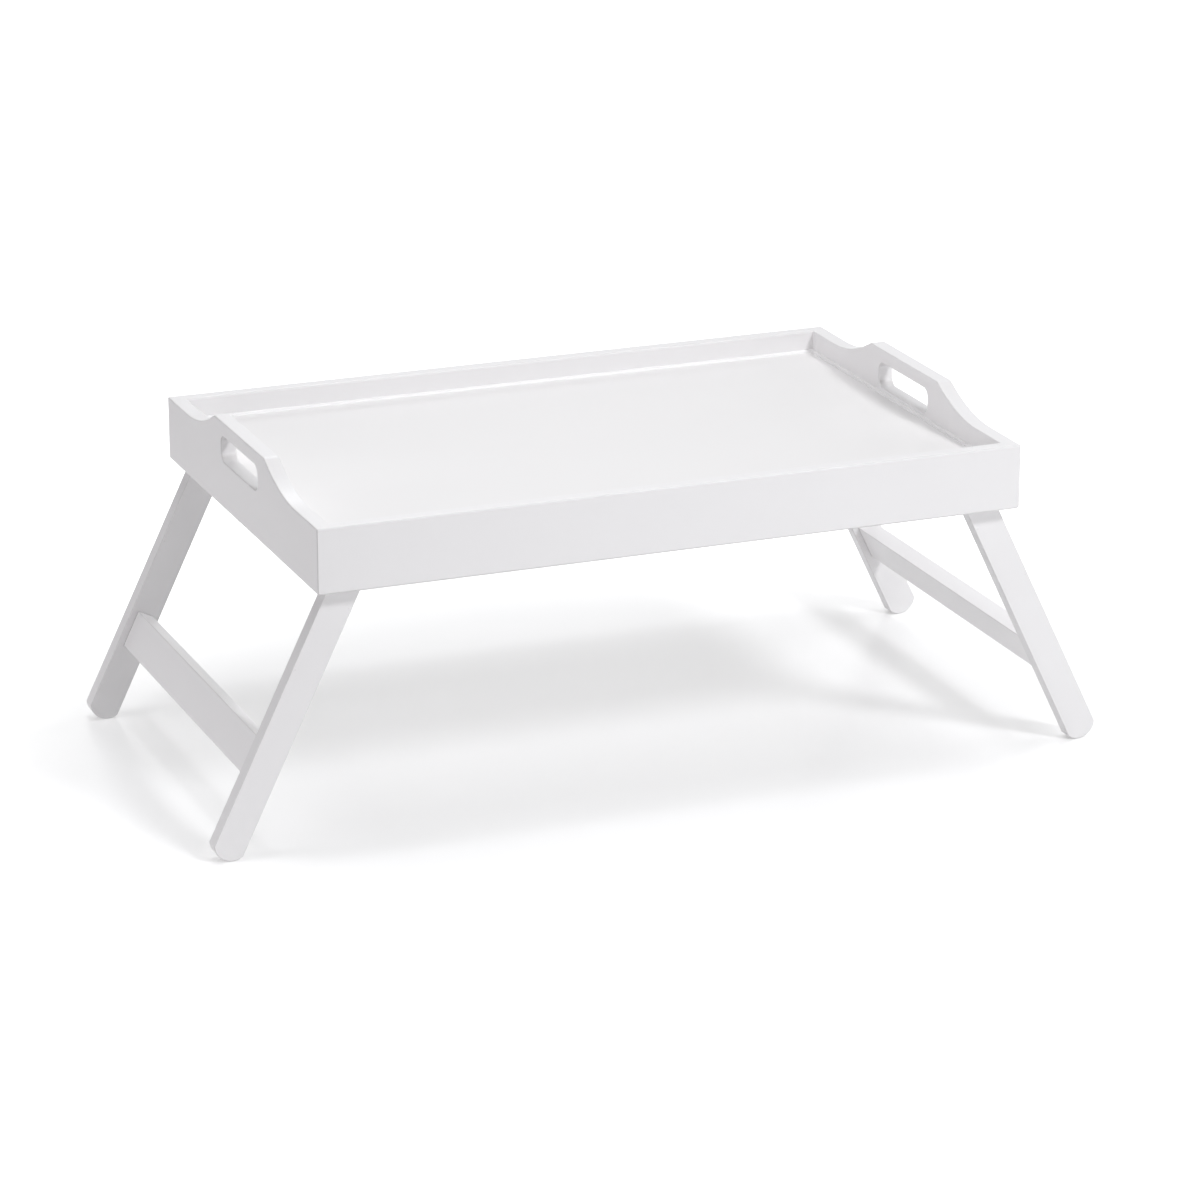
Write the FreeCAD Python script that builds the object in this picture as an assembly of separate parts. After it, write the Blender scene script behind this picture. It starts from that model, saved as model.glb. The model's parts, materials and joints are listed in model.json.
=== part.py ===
import FreeCAD, Part
import math
import os

# Bed tray table: a shallow tray on two folding leg frames. Millimetres, +Z up, X along the tray,
# -Y to the front. The origin is on the ground, under the centre of the tray, with the legs open.

# Tray
tray_length = 500.0
tray_depth = 325.0
rim_height = 45.0
end_board_thickness = 11.0
rail_thickness = 10.0
top_edge_round = 1.0
bottom_edge_round = 2.0

# Raised handle on each end board, and the hand hole through it
handle_rise = 16.7
handle_length = 107.8
handle_corner_round = 8.0
handle_ramp_angle = 26.0
handle_sweep_radius = 124.0
hand_hole_length = 79.0
hand_hole_height = 18.0
hand_hole_corner = 6.5
hand_hole_below_top = 10.0
hand_hole_edge_round = 1.0

# Floor panel: its border is rebated to a tongue, let into grooves in the four walls
floor_drop = 15.5
floor_thickness = 4.0
floor_rebate = 1.0
floor_side_clearance = 0.1
groove_depth = 4.5
groove_head_clearance = 0.1
groove_end_clearance = 0.5

# Leg frames
splay_angle = 25.8
leg_width = 21.6
leg_thickness = 11.5
leg_end_radius = 12.3
leg_edge_round = 0.8
pivot_to_foot = 198.0
pivot_height = 12.5
stop_gap = 0.3
stretcher_height = 26.7
stretcher_thickness = 11.8
stretcher_drop = 142.6
stretcher_edge_round = 0.8

# Pivot screws and their washers
shank_radius = 2.5
thread_radius = 2.0
thread_clearance = 0.05
thread_cover = 1.8
thread_end_gap = 0.4
running_clearance = 0.05
head_radius = 4.8
head_height = 3.0
head_edge_round = 1.6
recess_width = 1.1
recess_span = 5.0
recess_depth = 1.7
spacer_radius = 8.0
spacer_thickness = 2.0
head_washer_radius = 7.0
head_washer_thickness = 1.0
washer_bore_clearance = 0.2
side_play = 0.25

# Glued dowels
dowel_radius = 2.5
dowel_chamfer = 0.6
dowel_clearance = 0.05
dowel_end_gap = 0.5
corner_dowel_inset = 7.5
corner_dowel_in_board = 7.0
corner_dowel_in_rail = 15.0
stretcher_dowel_spacing = 14.0
stretcher_dowel_in_leg = 8.0
stretcher_dowel_in_stretcher = 16.0

# Places that follow from the sizes above
splay = math.radians(splay_angle)
half_length = tray_length / 2
half_depth = tray_depth / 2
tray_bottom = pivot_to_foot * math.cos(splay) + leg_end_radius - pivot_height
rim_top = tray_bottom + rim_height
handle_top = rim_top + handle_rise
floor_top = rim_top - floor_drop
floor_bottom = floor_top - floor_thickness
tongue_top = floor_top - floor_rebate
inner_half_length = half_length - end_board_thickness
inner_half_depth = half_depth - rail_thickness
# A leg's outer edge stands stop_gap clear of the rounded lower inner edge of its end board
stop_reach = bottom_edge_round + stop_gap + leg_width / 2
stop_rise = (pivot_height - bottom_edge_round) * math.sin(splay)
pivot_inset = end_board_thickness - bottom_edge_round + (stop_reach + stop_rise) / math.cos(splay)
pivot_x = half_length - pivot_inset
pivot_z = tray_bottom + pivot_height
# From the middle of the tray outwards along Y
spacer_face = inner_half_depth - spacer_thickness
leg_outer_face = spacer_face - side_play
leg_inner_face = leg_outer_face - leg_thickness
washer_face = leg_inner_face - side_play
head_face = washer_face - head_washer_thickness
overcut = 1.0

vec = FreeCAD.Vector
x_axis = vec(1, 0, 0)
y_axis = vec(0, 1, 0)


def box_between(low, high):
    size = high - low
    return Part.makeBox(size.x, size.y, size.z, low)


def rod(radius, start, end):
    axis = end - start
    return Part.makeCylinder(radius, axis.Length, start, axis)


def line(a, b):
    return Part.LineSegment(a, b).toShape()


def arc(a, middle, b):
    return Part.Arc(a, middle, b).toShape()


def round_edges(solid, radius, wanted):
    """Round every edge of the solid whose bounding box passes the test."""
    edges = [edge for edge in solid.Edges if wanted(edge.BoundBox)]
    return solid.makeFillet(radius, edges)


def near(a, b):
    return abs(a - b) < 1e-4


# Tray walls

def handle_side(side):
    """Edges of one end of the handle, from its flat top down to the rim, and their last point."""
    angle = math.radians(handle_ramp_angle)
    corner_y = handle_length / 2
    ramp_foot_y = corner_y + handle_rise / math.tan(angle)
    corner_reach = handle_corner_round * math.tan(angle / 2)
    sweep_reach = handle_sweep_radius * math.tan(angle / 2)

    def at(y, z):
        return vec(0, side * y, z)

    flat_end = at(corner_y - corner_reach, handle_top)
    round_middle = at(corner_y - corner_reach + handle_corner_round * math.sin(angle / 2),
                      handle_top - handle_corner_round * (1 - math.cos(angle / 2)))
    ramp_start = at(corner_y + corner_reach * math.cos(angle),
                    handle_top - corner_reach * math.sin(angle))
    ramp_end = at(ramp_foot_y - sweep_reach * math.cos(angle),
                  rim_top + sweep_reach * math.sin(angle))
    sweep_end_y = ramp_foot_y + sweep_reach
    sweep_middle = at(sweep_end_y - handle_sweep_radius * math.sin(angle / 2),
                      rim_top + handle_sweep_radius * (1 - math.cos(angle / 2)))
    sweep_end = at(sweep_end_y, rim_top)
    edges = [arc(flat_end, round_middle, ramp_start),
             line(ramp_start, ramp_end),
             arc(ramp_end, sweep_middle, sweep_end)]
    return edges, flat_end, sweep_end


def end_board_blank(side):
    """Full end board with its handle profile, before any edge is rounded."""
    front_edges, front_flat, front_rim = handle_side(-1)
    rear_edges, rear_flat, rear_rim = handle_side(1)
    front_top = vec(0, -half_depth, rim_top)
    rear_top = vec(0, half_depth, rim_top)
    front_foot = vec(0, -half_depth, tray_bottom)
    rear_foot = vec(0, half_depth, tray_bottom)
    edges = [line(front_flat, rear_flat),
             line(front_rim, front_top),
             line(rear_rim, rear_top),
             line(front_top, front_foot),
             line(rear_top, rear_foot),
             line(front_foot, rear_foot)]
    wire = Part.Wire(Part.__sortEdges__(edges + front_edges + rear_edges))
    board = Part.Face(wire).extrude(x_axis * end_board_thickness)
    board.translate(x_axis * (inner_half_length if side > 0 else -half_length))
    return board


def hand_hole_tool():
    """Rounded slot through both end boards at once."""
    top = handle_top - hand_hole_below_top
    low = vec(-half_length - overcut, -hand_hole_length / 2, top - hand_hole_height)
    high = vec(half_length + overcut, hand_hole_length / 2, top)
    slot = box_between(low, high)
    corners = [edge for edge in slot.Edges if near(edge.BoundBox.XLength, high.x - low.x)]
    return slot.makeFillet(hand_hole_corner, corners)


def on_end_face(box):
    flat = near(box.XLength, 0)
    return flat and (near(abs(box.XMin), half_length) or near(abs(box.XMin), inner_half_length))


def is_hole_edge(box):
    inside_y = max(abs(box.YMin), abs(box.YMax)) < hand_hole_length / 2 + overcut
    hole_top = handle_top - hand_hole_below_top
    inside_z = box.ZMax < hole_top + overcut and box.ZMin > hole_top - hand_hole_height - overcut
    return on_end_face(box) and inside_y and inside_z


def is_top_edge(box):
    on_rail_top = near(box.ZMin, rim_top) and near(box.ZMax, rim_top) and near(box.YLength, 0)
    on_profile = on_end_face(box) and box.ZMin > rim_top - overcut and not is_hole_edge(box)
    return on_rail_top or on_profile


def is_outer_corner(box):
    upright = near(box.XLength, 0) and near(box.YLength, 0)
    return upright and near(abs(box.XMin), half_length) and near(abs(box.YMin), half_depth)


def is_bottom_edge(box):
    return near(box.ZMin, tray_bottom) and near(box.ZMax, tray_bottom)


def tray_frame():
    """The four walls as one body, because their edges are rounded after they are joined."""
    frame = end_board_blank(-1).fuse(end_board_blank(1))
    for side in (-1, 1):
        inner = side * inner_half_depth
        outer = side * half_depth
        frame = frame.fuse(box_between(vec(-inner_half_length, min(inner, outer), tray_bottom),
                                       vec(inner_half_length, max(inner, outer), rim_top)))
    frame = frame.removeSplitter().cut(hand_hole_tool())
    frame = round_edges(frame, top_edge_round, lambda box: is_top_edge(box) or is_outer_corner(box))
    frame = round_edges(frame, hand_hole_edge_round, is_hole_edge)
    return round_edges(frame, bottom_edge_round, is_bottom_edge)


def floor_slab(reach, top):
    """Slab from the underside of the floor panel up, reaching this far into the walls."""
    return box_between(vec(-inner_half_length - reach, -inner_half_depth - reach, floor_bottom),
                       vec(inner_half_length + reach, inner_half_depth + reach, top))


def corner_dowel_line(side_x, side_y, z, end_gap):
    """Start and end of a corner dowel (or of its hole, with no gap), from board to rail."""
    y = side_y * (half_depth - rail_thickness / 2)
    start = vec(side_x * (inner_half_length + corner_dowel_in_board - end_gap), y, z)
    end = vec(side_x * (inner_half_length - corner_dowel_in_rail + end_gap), y, z)
    return start, end


def corner_dowel_heights():
    return (tray_bottom + corner_dowel_inset, rim_top - corner_dowel_inset)


def wall(frame, low, high):
    """One wall cut out of the joined frame, with its groove and its dowel and screw holes."""
    piece = frame.common(box_between(low, high))
    piece = piece.cut(floor_slab(groove_depth, tongue_top + groove_head_clearance))
    for side_x in (-1, 1):
        for side_y in (-1, 1):
            for z in corner_dowel_heights():
                hole = corner_dowel_line(side_x, side_y, z, 0)
                piece = piece.cut(rod(dowel_radius + dowel_clearance, *hole))
            piece = piece.cut(pilot_hole(side_x, side_y))
    return piece


def tray_walls():
    frame = tray_frame()
    top = handle_top + overcut
    walls = {}
    for name, side in (("left_end_board", -1), ("right_end_board", 1)):
        ends = sorted((side * inner_half_length, side * (half_length + overcut)))
        walls[name] = wall(frame, vec(ends[0], -half_depth - overcut, tray_bottom - overcut),
                           vec(ends[1], half_depth + overcut, top))
    for name, side in (("front_rail", -1), ("rear_rail", 1)):
        ends = sorted((side * (inner_half_depth - overcut), side * (half_depth + overcut)))
        walls[name] = wall(frame, vec(-inner_half_length, ends[0], tray_bottom - overcut),
                           vec(inner_half_length, ends[1], top))
    return walls


def floor_panel():
    field = floor_slab(-floor_side_clearance, floor_top)
    tongue = floor_slab(groove_depth - groove_end_clearance, tongue_top)
    return field.fuse(tongue).removeSplitter()


# Pivots

def on_pivot(side_x, side_y, y):
    return vec(side_x * pivot_x, side_y * y, pivot_z)


def pilot_hole(side_x, side_y):
    """Blind hole in a rail for the thread of a pivot screw."""
    return rod(thread_radius + thread_clearance,
               on_pivot(side_x, side_y, inner_half_depth - overcut),
               on_pivot(side_x, side_y, half_depth - thread_cover))


def recess_bar(centre, span_x, span_z, ends):
    """One bar of a screw head's cross recess."""
    half = vec(span_x / 2, 0, span_z / 2)
    return box_between(centre - half + y_axis * min(ends), centre + half + y_axis * max(ends))


def pivot_screw(side_x, side_y):
    """Pan-head screw: the leg turns on its plain shank, its thread is held in the rail."""
    head_top = head_face - head_height
    head = rod(head_radius, on_pivot(side_x, side_y, head_top), on_pivot(side_x, side_y, head_face))
    head = round_edges(head, head_edge_round,
                       lambda box: near(box.YLength, 0) and near(box.YMin, side_y * head_top))
    shank = rod(shank_radius, on_pivot(side_x, side_y, head_face),
                on_pivot(side_x, side_y, inner_half_depth))
    thread = rod(thread_radius, on_pivot(side_x, side_y, inner_half_depth),
                 on_pivot(side_x, side_y, half_depth - thread_cover - thread_end_gap))
    screw = head.fuse(shank).fuse(thread)
    centre = on_pivot(side_x, side_y, 0)
    ends = (side_y * (head_top - overcut), side_y * (head_top + recess_depth))
    screw = screw.cut(recess_bar(centre, recess_span, recess_width, ends))
    screw = screw.cut(recess_bar(centre, recess_width, recess_span, ends))
    return screw.removeSplitter()


def washer(side_x, side_y, radius, inner_face, outer_face):
    start = on_pivot(side_x, side_y, inner_face)
    end = on_pivot(side_x, side_y, outer_face)
    return rod(radius, start, end).cut(rod(shank_radius + washer_bore_clearance, start, end))


# Leg frames

def open_frame(shape, side_x):
    """Take a shape from the upright pose, pivot at the origin, to its place with the legs open."""
    placed = shape.copy()
    placed.rotate(vec(0, 0, 0), y_axis, -side_x * splay_angle)
    placed.translate(vec(side_x * pivot_x, 0, pivot_z))
    return placed


def stretcher_dowel_heights():
    return [-stretcher_drop + step * stretcher_dowel_spacing / 2 for step in (-1, 1)]


def stretcher_dowel(side_y, z, radius, end_gap):
    """Upright-pose dowel (or hole, with no gap) between a leg and its stretcher."""
    return rod(radius,
               vec(0, side_y * (leg_inner_face - stretcher_dowel_in_stretcher + end_gap), z),
               vec(0, side_y * (leg_inner_face + stretcher_dowel_in_leg - end_gap), z))


def leg(side_x, side_y):
    """Straight bar with a wide arc at each end, one about the pivot and one about the foot."""
    half = leg_width / 2
    shoulder = math.sqrt(leg_end_radius ** 2 - half ** 2)
    foot_z = -pivot_to_foot
    y = min(side_y * leg_inner_face, side_y * leg_outer_face)
    top_left = vec(-half, y, shoulder)
    top_right = vec(half, y, shoulder)
    foot_left = vec(-half, y, foot_z - shoulder)
    foot_right = vec(half, y, foot_z - shoulder)
    outline = Part.Wire([arc(top_left, vec(0, y, leg_end_radius), top_right),
                         line(top_right, foot_right),
                         arc(foot_right, vec(0, y, foot_z - leg_end_radius), foot_left),
                         line(foot_left, top_left)])
    bar = Part.Face(outline).extrude(y_axis * leg_thickness)
    bar = round_edges(bar, leg_edge_round, lambda box: near(box.YLength, 0))
    bore = rod(shank_radius + running_clearance,
               vec(0, side_y * (leg_inner_face - overcut), 0),
               vec(0, side_y * (leg_outer_face + overcut), 0))
    bar = bar.cut(bore)
    for z in stretcher_dowel_heights():
        bar = bar.cut(stretcher_dowel(side_y, z, dowel_radius + dowel_clearance, 0))
    return open_frame(bar, side_x)


def stretcher(side_x):
    half = vec(stretcher_thickness / 2, leg_inner_face, stretcher_height / 2)
    centre = vec(0, 0, -stretcher_drop)
    bar = box_between(centre - half, centre + half)
    bar = round_edges(bar, stretcher_edge_round, lambda box: near(box.YLength, 2 * leg_inner_face))
    for side_y in (-1, 1):
        for z in stretcher_dowel_heights():
            bar = bar.cut(stretcher_dowel(side_y, z, dowel_radius + dowel_clearance, 0))
    return open_frame(bar, side_x)


# Dowels

def chamfered(dowel):
    ends = [edge for edge in dowel.Edges if edge.Closed]
    return dowel.makeChamfer(dowel_chamfer, ends)


def corner_dowels(side_x, side_y):
    return Part.makeCompound([
        chamfered(rod(dowel_radius, *corner_dowel_line(side_x, side_y, z, dowel_end_gap)))
        for z in corner_dowel_heights()])


def stretcher_dowels(side_x, side_y):
    return Part.makeCompound([
        open_frame(chamfered(stretcher_dowel(side_y, z, dowel_radius, dowel_end_gap)), side_x)
        for z in stretcher_dowel_heights()])


# Whole table

def build():
    parts = tray_walls()
    parts["floor_panel"] = floor_panel()
    for left_right, side_x in (("left", -1), ("right", 1)):
        parts[f"{left_right}_stretcher"] = stretcher(side_x)
        for front_rear, side_y in (("front", -1), ("rear", 1)):
            place = f"{left_right}_{front_rear}"
            parts[f"{place}_leg"] = leg(side_x, side_y)
            parts[f"{place}_pivot_screw"] = pivot_screw(side_x, side_y)
            parts[f"{place}_spacer_washer"] = washer(side_x, side_y, spacer_radius,
                                                     spacer_face, inner_half_depth)
            parts[f"{place}_head_washer"] = washer(side_x, side_y, head_washer_radius,
                                                   head_face, washer_face)
            parts[f"{place}_corner_dowels"] = corner_dowels(side_x, side_y)
            parts[f"{place}_stretcher_dowels"] = stretcher_dowels(side_x, side_y)
    return parts


def export(parts):
    os.makedirs("parts", exist_ok=True)
    for name, shape in parts.items():
        shape.exportStep(f"parts/{name}.step")
        box = shape.optimalBoundingBox()
        print(f"{name}: {len(shape.Solids)} solid(s), valid {shape.isValid()}, "
              f"{shape.Volume / 1000:.2f} cm3, "
              f"x {box.XMin:.2f}..{box.XMax:.2f} y {box.YMin:.2f}..{box.YMax:.2f} "
              f"z {box.ZMin:.2f}..{box.ZMax:.2f}")
    print(f"pivots at x +-{pivot_x:.3f}, z {pivot_z:.3f}; tray bottom {tray_bottom:.3f}, "
          f"floor top {floor_top:.3f}, rim {rim_top:.3f}, handle {handle_top:.3f}")
    print(f"fold angle {90 + splay_angle:.2f} degrees")


export(build())
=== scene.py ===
import json
import math
import bpy
import bmesh
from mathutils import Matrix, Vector, noise


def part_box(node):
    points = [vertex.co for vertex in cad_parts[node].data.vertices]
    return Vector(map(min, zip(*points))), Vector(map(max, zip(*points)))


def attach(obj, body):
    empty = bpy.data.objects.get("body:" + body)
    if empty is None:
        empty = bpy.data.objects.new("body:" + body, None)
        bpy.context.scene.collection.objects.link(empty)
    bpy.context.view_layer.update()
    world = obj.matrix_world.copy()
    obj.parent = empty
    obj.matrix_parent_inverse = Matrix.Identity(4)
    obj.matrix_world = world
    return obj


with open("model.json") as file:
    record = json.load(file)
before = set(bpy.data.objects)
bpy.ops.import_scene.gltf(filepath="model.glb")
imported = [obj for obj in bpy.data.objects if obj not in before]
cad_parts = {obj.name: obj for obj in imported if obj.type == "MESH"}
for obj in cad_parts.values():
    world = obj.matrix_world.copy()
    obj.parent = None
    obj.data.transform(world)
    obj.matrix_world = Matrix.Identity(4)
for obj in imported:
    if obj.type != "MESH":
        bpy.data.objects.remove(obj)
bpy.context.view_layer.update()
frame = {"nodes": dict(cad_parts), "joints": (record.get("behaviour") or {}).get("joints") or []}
print("frame loaded,", len(frame["nodes"]), "nodes")

joints = {joint["name"]: joint for joint in frame["joints"]}
up = Vector((0, 0, 1))
alongX = Vector((1, 0, 0))
alongY = Vector((0, 1, 0))
millimetre = 0.001


# Shader helpers

class Wire:
    # a node's output that takes part in sums
    def __init__(self, nodes, socket):
        self.nodes = nodes
        self.socket = socket

    def sum(self, operation, first, second):
        return self.nodes.add("ShaderNodeMath", {"operation": operation}, {0: first, 1: second})

    def __add__(self, other):
        return self.sum("ADD", self, other)

    def __radd__(self, other):
        return self.sum("ADD", other, self)

    def __sub__(self, other):
        return self.sum("SUBTRACT", self, other)

    def __rsub__(self, other):
        return self.sum("SUBTRACT", other, self)

    def __mul__(self, other):
        return self.sum("MULTIPLY", self, other)

    def __rmul__(self, other):
        return self.sum("MULTIPLY", other, self)


class Nodes:
    def __init__(self, tree):
        self.tree = tree
        self.tree.nodes.clear()

    def add(self, kind, settings=None, sockets=None, output=0):
        # settings go in first, then numbers or wires into the sockets
        node = self.tree.nodes.new(kind)
        node.location = (len(self.tree.nodes) * 40, -len(self.tree.nodes) % 7 * 160)
        for name, value in (settings or {}).items():
            setattr(node, name, value)
        for name, value in (sockets or {}).items():
            if isinstance(value, Wire):
                self.tree.links.new(value.socket, node.inputs[name])
            else:
                node.inputs[name].default_value = value
        return Wire(self, node.outputs[output]) if node.outputs else node


def newMaterial(name):
    material = bpy.data.materials.new(name)
    material.use_nodes = True
    return material, Nodes(material.node_tree)


def fade(nodes, value, start, end):
    # 0 at start, 1 at end, soft between
    return nodes.add("ShaderNodeMapRange", {"interpolation_type": "SMOOTHSTEP"},
                     {"Value": value, "From Min": start, "From Max": end})


def blendColours(nodes, amount, first, second):
    return nodes.add("ShaderNodeMix", {"data_type": "RGBA"}, {0: amount, 6: first, 7: second}, output=2)


def along(nodes, vector, direction):
    return nodes.add("ShaderNodeVectorMath", {"operation": "DOT_PRODUCT"},
                     {0: vector, 1: tuple(direction)}, output=1)


def stretched(nodes, axes, sizes):
    # the piece's own length, width and thickness, each divided by a size in metres
    parts = [axis * (1 / size) for axis, size in zip(axes, sizes)]
    return nodes.add("ShaderNodeCombineXYZ", None, {"X": parts[0], "Y": parts[1], "Z": parts[2]})


def noiseIn(nodes, vector, detail, roughness=0.5):
    return nodes.add("ShaderNodeTexNoise", {"noise_dimensions": "3D"},
                     {"Vector": vector, "Scale": 1.0, "Detail": detail, "Roughness": roughness})


def plain(nodes, value):
    return nodes.add("ShaderNodeMath", {"operation": "ABSOLUTE"}, {0: value})


def larger(nodes, first, second):
    return nodes.add("ShaderNodeMath", {"operation": "MAXIMUM"}, {0: first, 1: second})


def objectNoise(nodes, place, scale, detail):
    return nodes.add("ShaderNodeTexNoise", None, {"Vector": place, "Scale": scale, "Detail": detail})


def finishSurface(nodes, sockets, height):
    # height is in millimetres
    bump = nodes.add("ShaderNodeBump", None, {"Height": height, "Strength": 1.0, "Distance": millimetre})
    shader = nodes.add("ShaderNodeBsdfPrincipled", None, dict(sockets, Normal=bump))
    nodes.add("ShaderNodeOutputMaterial", None, {"Surface": shader})


# Painted wood: sprayed satin white over sanded board

satinPaint = {
    "colour": (0.872, 0.863, 0.866, 1),
    "shade": (0.858, 0.848, 0.851, 1),       # slow cloudiness of the coat
    "narrowFaceShade": (0.778, 0.770, 0.773, 1),    # painted shade: narrow faces drawn duller only to fit the measured levels
    "edgeWearAndShade": (0.725, 0.712, 0.710, 1),    # pulled thin over the rounded edges, and drawn darker there as painted shade
    "edgeBand": (0.97, 0.86),                # how squarely a surface faces one axis, flat face to edge
    "narrowBand": (0.80, 0.95),
    "underBand": (-0.7, -0.9),
    "cloudSize": 0.09,
    "gloss": 0.36,                           # roughness of the flat faces
    "glossChange": 0.07,
    "peelGloss": 0.05,
    "underGloss": 0.08,
    "edgeGloss": 0.05,                       # edges are rubbed this much smoother
    "peelSize": 0.0024,
    "peelHeight": 0.010,                     # mm, like the other heights
    "grainLength": 0.11,
    "grainWidth": 0.0012,
    "grainHeight": 0.007,                    # what shows through the paint
    "poreSize": 0.00096,
    "endGrainHeight": 0.02,
    "nibColour": (0.70, 0.69, 0.69, 1),
    "nibTint": 0.5,
    "nibSpacing": 0.055,
    "nibShare": 0.3,
    "nibRadius": 0.0007,
    "nibCrown": 0.2,
    "nibHeight": 0.09,
    "nibBand": (0.9, 0.99),                  # dust nibs stand on the broad faces only
    "underside": 2.2,                        # the grain shows this much more underneath
    "jointShade": (0.34, 0.32, 0.31, 1),     # hairline where the coat stops at a butt joint
    "jointWidth": 0.0007,
    "jointDepth": 0.25,
    "refraction": 1.46,
}

# painted shade: the floor's duller colour is fitted to the measured levels too, standing in for less light
# on it
floorPaint = dict(satinPaint,
                  colour=(0.778, 0.768, 0.765, 1),
                  shade=(0.767, 0.756, 0.753, 1),
                  gloss=0.41,
                  grainHeight=0.003,
                  nibShare=0.42)

barPaint = dict(satinPaint, narrowFaceShade=satinPaint["colour"])

# painted shade: the bead is drawn darker than the paint it is made of, to tone down the light on it
beadPaint = dict(barPaint,
                 colour=(0.812, 0.804, 0.806, 1),
                 edgeWearAndShade=(0.812, 0.804, 0.806, 1),
                 gloss=0.3,
                 grainHeight=0.0,
                 nibShare=0.0)


def dustNibs(nodes, paint, axes, broad):
    spread = stretched(nodes, axes, [paint["nibSpacing"]] * 3)
    flat = {"voronoi_dimensions": "2D"}
    cell = {"Vector": spread, "Scale": 1.0}
    nibAway = nodes.add("ShaderNodeTexVoronoi", flat, cell)
    nibPick = nodes.add("ShaderNodeTexVoronoi", flat, cell, output="Color")
    pick = nodes.add("ShaderNodeSeparateColor", None, {"Color": nibPick})
    radius = paint["nibRadius"] / paint["nibSpacing"]
    chosen = fade(nodes, pick, paint["nibShare"], paint["nibShare"] - 0.001)
    nib = fade(nodes, nibAway, radius, radius * paint["nibCrown"])
    return nib * chosen * fade(nodes, broad, *paint["nibBand"])


def paintedWood(name, paint, length, width, buttedAt=None):
    # buttedAt is how far from the middle of its length the piece meets its neighbours
    material, nodes = newMaterial(name)
    thickness = length.cross(width)
    place = nodes.add("ShaderNodeTexCoord", output="Object")
    facing = nodes.add("ShaderNodeTexCoord", output="Normal")
    axes = [along(nodes, place, axis) for axis in (length, width, thickness)]
    faces = [plain(nodes, along(nodes, facing, axis)) for axis in (length, width, thickness)]

    flatness = larger(nodes, larger(nodes, faces[0], faces[1]), faces[2])
    edge = fade(nodes, flatness, *paint["edgeBand"])
    endGrain = fade(nodes, faces[0], *paint["narrowBand"])
    underneath = fade(nodes, along(nodes, facing, up), *paint["underBand"])

    cloud = noiseIn(nodes, stretched(nodes, axes, [paint["cloudSize"]] * 3), 3.0)
    peel = noiseIn(nodes, stretched(nodes, axes, [paint["peelSize"]] * 3), 1.0)
    grainSizes = (paint["grainLength"], paint["grainWidth"], paint["grainWidth"])
    grain = noiseIn(nodes, stretched(nodes, axes, grainSizes), 3.0, 0.6)
    pores = noiseIn(nodes, stretched(nodes, axes, [paint["poreSize"]] * 3), 2.0)
    nib = dustNibs(nodes, paint, axes, faces[2])

    colour = blendColours(nodes, cloud, paint["colour"], paint["shade"])
    # painted shade: the narrow faces are drawn in a darker colour
    colour = blendColours(nodes, fade(nodes, faces[1], *paint["narrowBand"]), colour, paint["narrowFaceShade"])
    # the rounded edges are drawn darker: partly thin paint, partly painted shade
    colour = blendColours(nodes, edge, colour, paint["edgeWearAndShade"])
    colour = blendColours(nodes, nib * paint["nibTint"], colour, paint["nibColour"])
    gloss = paint["gloss"] + (cloud - 0.5) * paint["glossChange"] + (peel - 0.5) * paint["peelGloss"]
    gloss = gloss - edge * paint["edgeGloss"] + underneath * paint["underGloss"]
    height = (peel - 0.5) * paint["peelHeight"]
    height = height + (grain - 0.5) * (1 + underneath * paint["underside"]) * paint["grainHeight"]
    height = height + (pores - 0.5) * endGrain * paint["endGrainHeight"]
    height = height + nib * paint["nibHeight"]
    if buttedAt:
        fromJoint = buttedAt - plain(nodes, axes[0])
        hairline = fade(nodes, fromJoint, paint["jointWidth"], paint["jointWidth"] / 3)
        colour = blendColours(nodes, hairline, colour, paint["jointShade"])
        height = height - hairline * paint["jointDepth"]
    finishSurface(nodes, {"Base Color": colour, "Roughness": gloss, "IOR": paint["refraction"]}, height)
    return material


def dress(node, material):
    piece = frame["nodes"][node]
    piece.data.materials.clear()
    piece.data.materials.append(material)


lean = math.radians(joints["left_leg_fold"]["range_deg"][1] - 90)   # the legs' splay from upright
legLines = {}
for side, sign in (("left", -1), ("right", 1)):
    legLines[side] = {
        "down": Vector((sign * math.sin(lean), 0, -math.cos(lean))),
        "out": Vector((sign * math.cos(lean), 0, math.sin(lean))),
    }

railPaint = paintedWood("satinPaintRails", satinPaint, alongX, up)
endPaint = paintedWood("satinPaintEndBoards", satinPaint, alongY, up)
for node in ("front_rail", "rear_rail"):
    dress(node, railPaint)
for node in ("left_end_board", "right_end_board"):
    dress(node, endPaint)
dress("floor_panel", paintedWood("satinPaintFloor", floorPaint, alongX, alongY))
for side in ("left", "right"):
    lines = legLines[side]
    legPaint = paintedWood(side + "LegPaint", satinPaint, lines["down"], lines["out"])
    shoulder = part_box(side + "_rear_leg")[0].y
    stretcherPaint = paintedWood(side + "StretcherPaint", barPaint, alongY, lines["down"], shoulder)
    for end in ("front", "rear"):
        dress(f"{side}_{end}_leg", legPaint)
    dress(f"{side}_stretcher", stretcherPaint)
print("painted wood dressed")


# Paint that ran into the joints and set there as a small fillet

floorBead = {
    "onFloor": 0.0021,      # how far it runs out over the floor
    "upWall": 0.0017,
    "tuck": 0.9,            # the hidden side keeps inside the shown one
    "unevenness": 0.08,
    "waveLength": 0.013,
    "step": 0.004,
    "sides": 7,
    "intoCorner": 0.0001,
    "sharpFrom": 50,        # degrees
}


def beadSection(bead, swell):
    # (away from the wall, above the floor), from the floor up the wall and back through the corner
    section = []
    for i in range(bead["sides"] + 1):
        turn = math.pi / 2 * i / bead["sides"]
        section.append((bead["onFloor"] * swell * math.cos(turn), bead["upWall"] * swell * math.sin(turn)))
    section.append((-bead["intoCorner"], bead["upWall"] * bead["tuck"]))
    section.append((-bead["intoCorner"], -bead["intoCorner"]))
    section.append((bead["onFloor"] * bead["tuck"], -bead["intoCorner"]))
    return section


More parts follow.
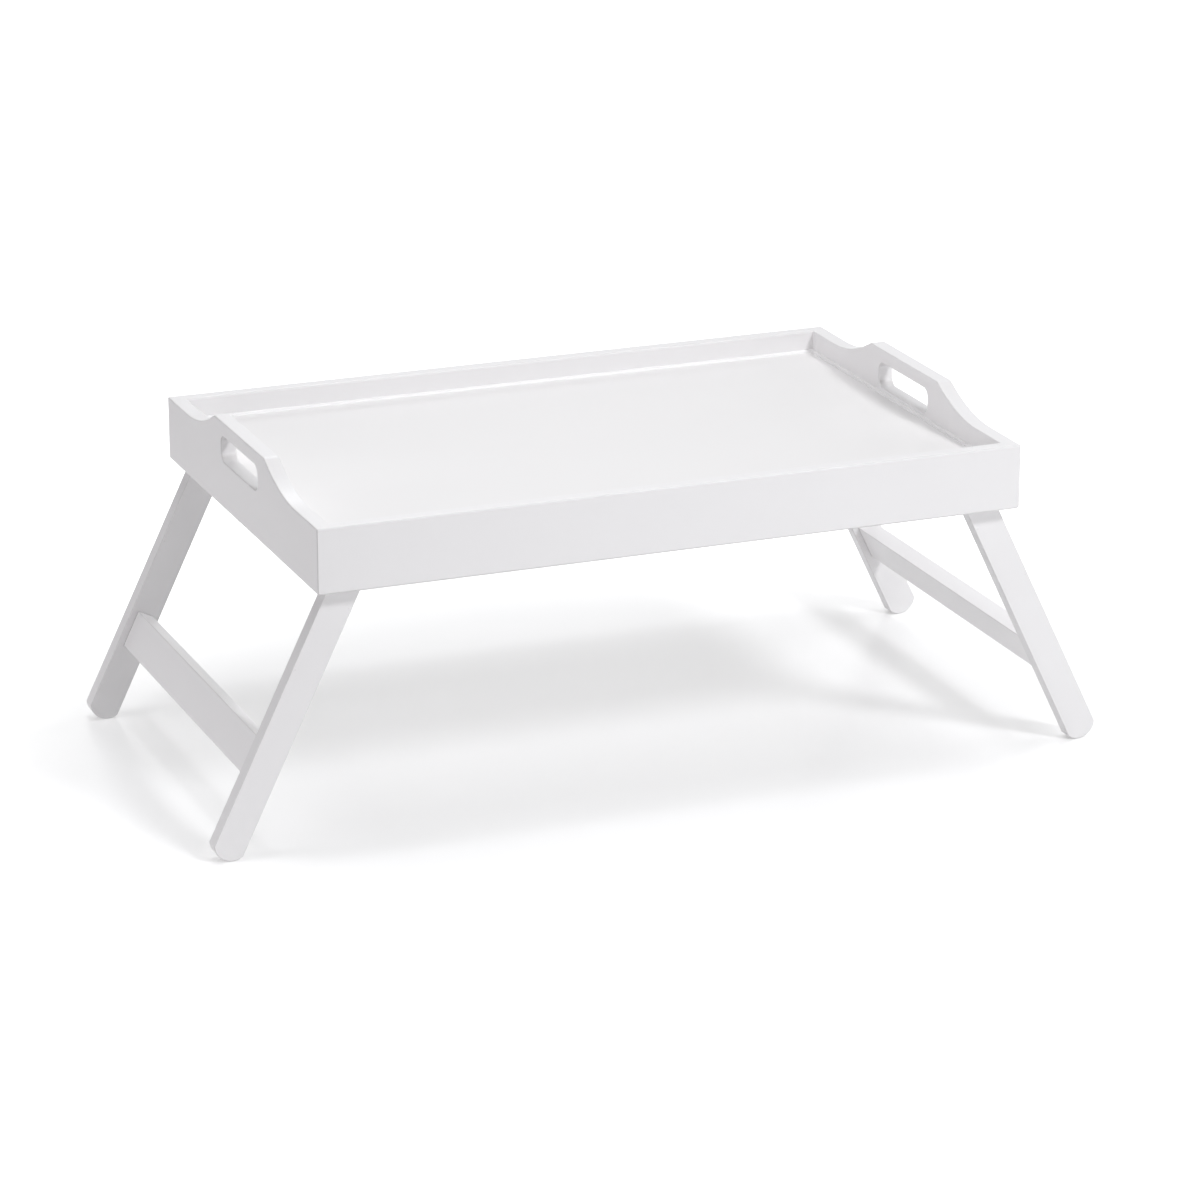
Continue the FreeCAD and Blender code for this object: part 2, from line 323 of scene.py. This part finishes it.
def beadPath(corners, step):
    # points round the corners, each with the direction away from the wall
    stations = []
    count = len(corners)
    middle = sum(corners, Vector()) / count
    inward = []
    for i in range(count):
        run = corners[(i + 1) % count] - corners[i]
        toMiddle = middle - (corners[i] + corners[(i + 1) % count]) / 2
        inward.append((toMiddle - run * (toMiddle.dot(run) / run.length_squared)).normalized())
    for i in range(count):
        start, end = corners[i], corners[(i + 1) % count]
        stations.append((start, inward[i - 1] + inward[i]))
        steps = max(2, round((end - start).length / step))
        stations += [(start.lerp(end, j / steps), inward[i]) for j in range(1, steps)]
    return stations


def makeBead(name, bead, corners):
    mesh = bmesh.new()
    rings = []
    for point, away in beadPath(corners, bead["step"]):
        swell = 1 + bead["unevenness"] * noise.noise(point / bead["waveLength"])
        section = beadSection(bead, swell)
        rings.append([mesh.verts.new(point + away * out + up * rise) for out, rise in section])
    for i, ring in enumerate(rings):
        following = rings[(i + 1) % len(rings)]
        for j in range(len(ring)):
            k = (j + 1) % len(ring)
            mesh.faces.new((ring[j], ring[k], following[k], following[j]))
    bmesh.ops.recalc_face_normals(mesh, faces=mesh.faces)
    data = bpy.data.meshes.new(name)
    mesh.to_mesh(data)
    mesh.free()
    data.shade_smooth()
    data.set_sharp_from_angle(angle=math.radians(bead["sharpFrom"]))
    piece = bpy.data.objects.new(name, data)
    bpy.context.scene.collection.objects.link(piece)
    return piece


def placeFloorBead():
    left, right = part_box("left_end_board")[1].x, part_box("right_end_board")[0].x
    front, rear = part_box("front_rail")[1].y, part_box("rear_rail")[0].y
    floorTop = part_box("floor_panel")[1].z
    around = ((left, front), (right, front), (right, rear), (left, rear))
    corners = [Vector((x, y, floorTop)) for x, y in around]
    bead = makeBead("floor_paint_bead", floorBead, corners)
    bead.data.materials.append(paintedWood("paintBead", beadPaint, alongX, alongY))
    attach(bead, "tray")


placeFloorBead()
print("paint bead laid")


# Fittings

screwSteel = {
    "colour": (0.63, 0.62, 0.60, 1),
    "dark": (0.40, 0.39, 0.38, 1),
    "roughness": 0.30,
    "turnedRing": 0.00032,
    "ringHeight": 0.004,     # mm
    "smearScale": 900.0,
    "smearGloss": 0.22,
    "smearHeight": 0.004,
    "dullScale": 260.0,
    "dullBand": (0.35, 0.75),
}


def turnedSteel(name, centre):
    # turned rings run round the screw's own axis
    material, nodes = newMaterial(name)
    place = nodes.add("ShaderNodeTexCoord", output="Object")
    fromAxis = nodes.add("ShaderNodeVectorMath", {"operation": "SUBTRACT"}, {0: place, 1: tuple(centre)})
    flat = nodes.add("ShaderNodeVectorMath", {"operation": "MULTIPLY"}, {0: fromAxis, 1: (1, 0, 1)})
    radius = nodes.add("ShaderNodeVectorMath", {"operation": "LENGTH"}, {0: flat}, output=1)
    turns = radius * (2 * math.pi / screwSteel["turnedRing"])
    ring = nodes.add("ShaderNodeMath", {"operation": "SINE"}, {0: turns})
    smear = objectNoise(nodes, place, screwSteel["smearScale"], 3.0)
    dull = fade(nodes, objectNoise(nodes, place, screwSteel["dullScale"], 2.0), *screwSteel["dullBand"])
    colour = blendColours(nodes, dull, screwSteel["colour"], screwSteel["dark"])
    roughness = screwSteel["roughness"] + (smear - 0.5) * screwSteel["smearGloss"]
    height = ring * screwSteel["ringHeight"] + (smear - 0.5) * screwSteel["smearHeight"]
    finishSurface(nodes, {"Base Color": colour, "Roughness": roughness, "Metallic": 1.0}, height)
    return material


spacerNylon = {
    "colour": (0.80, 0.78, 0.72, 1),
    "cloud": (0.74, 0.72, 0.66, 1),
    "roughness": 0.48,
    "cloudScale": 160.0,
    "cloudGloss": 0.12,
    "grainScale": 2600.0,
    "grainHeight": 0.008,    # mm
    "glow": 0.1,
    "glowDepth": 0.001,
}


def mouldedNylon():
    material, nodes = newMaterial("spacerNylon")
    place = nodes.add("ShaderNodeTexCoord", output="Object")
    cloud = objectNoise(nodes, place, spacerNylon["cloudScale"], 2.0)
    fine = objectNoise(nodes, place, spacerNylon["grainScale"], 1.0)
    colour = blendColours(nodes, cloud, spacerNylon["colour"], spacerNylon["cloud"])
    roughness = spacerNylon["roughness"] + (cloud - 0.5) * spacerNylon["cloudGloss"]
    sockets = {"Base Color": colour, "Roughness": roughness, "Subsurface Weight": spacerNylon["glow"],
               "Subsurface Scale": spacerNylon["glowDepth"]}
    finishSurface(nodes, sockets, (fine - 0.5) * spacerNylon["grainHeight"])
    return material


beechDowel = {
    "pale": (0.66, 0.47, 0.29, 1),
    "deep": (0.50, 0.32, 0.17, 1),
    "fleck": (0.36, 0.21, 0.11, 1),
    "roughness": 0.62,
    "fleckGloss": 0.1,
    "fleckTint": 0.5,
    "fibreHeight": 0.03,     # mm
    "ringSizes": (0.012, 0.012, 0.0014),
    "fleckSizes": (0.002, 0.002, 0.0004),
    "ringBand": (0.35, 0.65),
    "fleckBand": (0.62, 0.72),
}


def beechWood():
    material, nodes = newMaterial("beechDowel")
    place = nodes.add("ShaderNodeTexCoord", output="Object")
    axes = [along(nodes, place, axis) for axis in (alongX, alongY, up)]
    rings = noiseIn(nodes, stretched(nodes, axes, beechDowel["ringSizes"]), 3.0)
    flecks = noiseIn(nodes, stretched(nodes, axes, beechDowel["fleckSizes"]), 2.0)
    dark = fade(nodes, rings, *beechDowel["ringBand"])
    flecked = fade(nodes, flecks, *beechDowel["fleckBand"]) * beechDowel["fleckTint"]
    colour = blendColours(nodes, dark, beechDowel["pale"], beechDowel["deep"])
    colour = blendColours(nodes, flecked, colour, beechDowel["fleck"])
    roughness = beechDowel["roughness"] + (flecks - 0.5) * beechDowel["fleckGloss"]
    height = (flecks - 0.5) * beechDowel["fibreHeight"]
    finishSurface(nodes, {"Base Color": colour, "Roughness": roughness}, height)
    return material


nylon = mouldedNylon()
beech = beechWood()
for side in ("left", "right"):
    pivot = joints[side + "_leg_fold"]["pos_m"]
    steel = turnedSteel(side + "ScrewSteel", pivot)
    for end in ("front", "rear"):
        corner = f"{side}_{end}"
        dress(corner + "_pivot_screw", steel)
        dress(corner + "_head_washer", steel)
        dress(corner + "_spacer_washer", nylon)
        dress(corner + "_corner_dowels", beech)
        dress(corner + "_stretcher_dowels", beech)
print("fittings dressed")


# Studio: white sweep, soft lamps, the camera

studio = {
    "groundSize": 60.0,
    "groundDrop": 0.0001,
    "groundColour": (0.93, 0.93, 0.93, 1),   # as the bounced light sees it
    "darkCard": (0.05, 0.05, 0.05, 1),       # a guessed dark card on the left, for bounced light only
    "darkCardEdge": (-0.58, -0.32),
    "groundShown": (0.72, 0.72, 0.72, 1),    # the same ground as the camera and reflections see it,
    "groundLift": 0.31,                      # with this much white added under the object
    "openLift": 0.75,                        # and this much out in the open
    "footprint": (0.37, 0.27),               # half sizes of the oval that counts as under it
    "openBand": (0.85, 1.65),
    "groundGloss": 0.26,
    "roomLight": 0.15,
}
pureWhite = (1, 1, 1, 1)


def shownRays(nodes):
    # 1 for the rays that show the background: the camera's, reflected and refracted ones
    kinds = ("Camera", "Glossy", "Transmission")
    rays = [nodes.add("ShaderNodeLightPath", output=f"Is {kind} Ray") for kind in kinds]
    return larger(nodes, larger(nodes, rays[0], rays[1]), rays[2])


def makeGround():
    mesh = bmesh.new()
    bmesh.ops.create_circle(mesh, cap_ends=True, segments=96, radius=studio["groundSize"])
    data = bpy.data.meshes.new("studio_ground")
    mesh.to_mesh(data)
    mesh.free()
    ground = bpy.data.objects.new("studio_ground", data)
    ground.location = (0, 0, -studio["groundDrop"])
    bpy.context.scene.collection.objects.link(ground)
    material, nodes = newMaterial("studioGround")
    place = nodes.add("ShaderNodeTexCoord", output="Object")
    across, back = studio["footprint"]
    overSize = (1 / across, 1 / back, 0)
    oval = nodes.add("ShaderNodeVectorMath", {"operation": "MULTIPLY"}, {0: place, 1: overSize})
    fromMiddle = nodes.add("ShaderNodeVectorMath", {"operation": "LENGTH"}, {0: oval}, output=1)
    openGround = fade(nodes, fromMiddle, *studio["openBand"])
    lift = studio["groundLift"] + openGround * (studio["openLift"] - studio["groundLift"])
    clearOfCard = fade(nodes, along(nodes, place, alongX), *studio["darkCardEdge"])
    mattColour = blendColours(nodes, clearOfCard, studio["darkCard"], studio["groundColour"])
    matt = {"Base Color": mattColour, "Roughness": studio["groundGloss"]}
    matt = nodes.add("ShaderNodeBsdfPrincipled", None, matt)
    shown = {"Base Color": studio["groundShown"], "Roughness": studio["groundGloss"]}
    shown = nodes.add("ShaderNodeBsdfPrincipled", None, shown)
    white = nodes.add("ShaderNodeEmission", None, {"Color": pureWhite, "Strength": lift})
    lifted = nodes.add("ShaderNodeAddShader", None, {0: shown, 1: white})
    surface = nodes.add("ShaderNodeMixShader", None, {0: shownRays(nodes), 1: matt, 2: lifted})
    # from underneath the camera looks through the ground
    cameraRay = nodes.add("ShaderNodeLightPath", output="Is Camera Ray")
    below = nodes.add("ShaderNodeNewGeometry", output="Backfacing")
    clear = nodes.add("ShaderNodeBsdfTransparent")
    surface = nodes.add("ShaderNodeMixShader", None, {0: cameraRay * below, 1: surface, 2: clear})
    nodes.add("ShaderNodeOutputMaterial", None, {"Surface": surface})
    ground.data.materials.append(material)


def makeRoom():
    world = bpy.data.worlds.new("studio")
    world.use_nodes = True
    bpy.context.scene.world = world
    nodes = Nodes(world.node_tree)
    white = nodes.add("ShaderNodeBackground", None, {"Color": pureWhite, "Strength": 1.0})
    room = nodes.add("ShaderNodeBackground", None, {"Color": pureWhite, "Strength": studio["roomLight"]})
    either = nodes.add("ShaderNodeMixShader", None, {0: shownRays(nodes), 1: room, 2: white})
    nodes.add("ShaderNodeOutputWorld", None, {"Surface": either})


coolLight = (0.988, 0.995, 1.014)
lilacLight = (1.0, 0.968, 1.005)

lamps = [
    # azimuth from the front towards the right
    {"name": "keySoftbox", "azimuth": 28, "elevation": 40.5, "distance": 2.6, "size": 0.5, "watts": 27,
     "colour": coolLight},
    {"name": "overheadSpot", "azimuth": 0, "elevation": 89.5, "distance": 3.2, "size": 0.4, "watts": 11.5,
     "colour": coolLight},
    {"name": "overheadSoftbox", "azimuth": -90, "elevation": 80, "distance": 1.4, "size": 0.9, "watts": 4.5,
     "colour": coolLight},
    {"name": "highRightSoftbox", "azimuth": 90, "elevation": 70, "distance": 3.0, "size": 1.6, "watts": 13,
     "colour": coolLight},
    {"name": "lowRightSoftbox", "azimuth": 110, "elevation": 12, "distance": 3.2, "size": 1.2, "watts": 16,
     "colour": coolLight},
    {"name": "rearSoftbox", "azimuth": 165, "elevation": 40, "distance": 3.2, "size": 0.9, "watts": 10,
     "colour": coolLight},
    {"name": "lowFrontSoftbox", "azimuth": -30, "elevation": 12, "distance": 3.2, "size": 1.2, "watts": 9.5,
     "colour": lilacLight},
    {"name": "lowRightFrontSoftbox", "azimuth": 20, "elevation": 9, "distance": 3.2, "size": 1.2, "watts": 5,
     "colour": coolLight},
    {"name": "lowLeftSoftbox", "azimuth": -95, "elevation": 7, "distance": 3.2, "size": 0.9, "watts": 20,
     "colour": lilacLight},
]
aim = Vector((0, 0, 0.12))


def makeLamp(lamp):
    turn, rise = math.radians(lamp["azimuth"]), math.radians(lamp["elevation"])
    away = Vector((math.sin(turn) * math.cos(rise), -math.cos(turn) * math.cos(rise), math.sin(rise)))
    light = bpy.data.lights.new(lamp["name"], "AREA")
    light.shape = "DISK"
    light.size = lamp["size"]
    light.energy = lamp["watts"]
    light.color = lamp["colour"]
    lampObject = bpy.data.objects.new(lamp["name"], light)
    lampObject.location = aim + away * lamp["distance"]
    lampObject.rotation_euler = away.to_track_quat("Z", "Y").to_euler()
    bpy.context.scene.collection.objects.link(lampObject)


cameraSetup = {
    "place": (-1.1342, -2.8408, 1.1302),
    "tilt": 71.388,
    "turn": -21.808,
    "lens": 141.8,
    "sensor": 36,
    "near": 0.05,
    "far": 200,
}


def makeCamera():
    lens = bpy.data.cameras.new("studioCamera")
    lens.lens = cameraSetup["lens"]
    lens.sensor_width = cameraSetup["sensor"]
    lens.clip_start = cameraSetup["near"]
    lens.clip_end = cameraSetup["far"]
    camera = bpy.data.objects.new("studioCamera", lens)
    camera.location = cameraSetup["place"]
    camera.rotation_euler = (math.radians(cameraSetup["tilt"]), 0, math.radians(cameraSetup["turn"]))
    bpy.context.scene.collection.objects.link(camera)
    bpy.context.scene.camera = camera


makeGround()
makeRoom()
for lamp in lamps:
    makeLamp(lamp)
makeCamera()
bpy.context.scene.view_settings.view_transform = "Standard"
print("studio set")

bpy.context.view_layer.update()
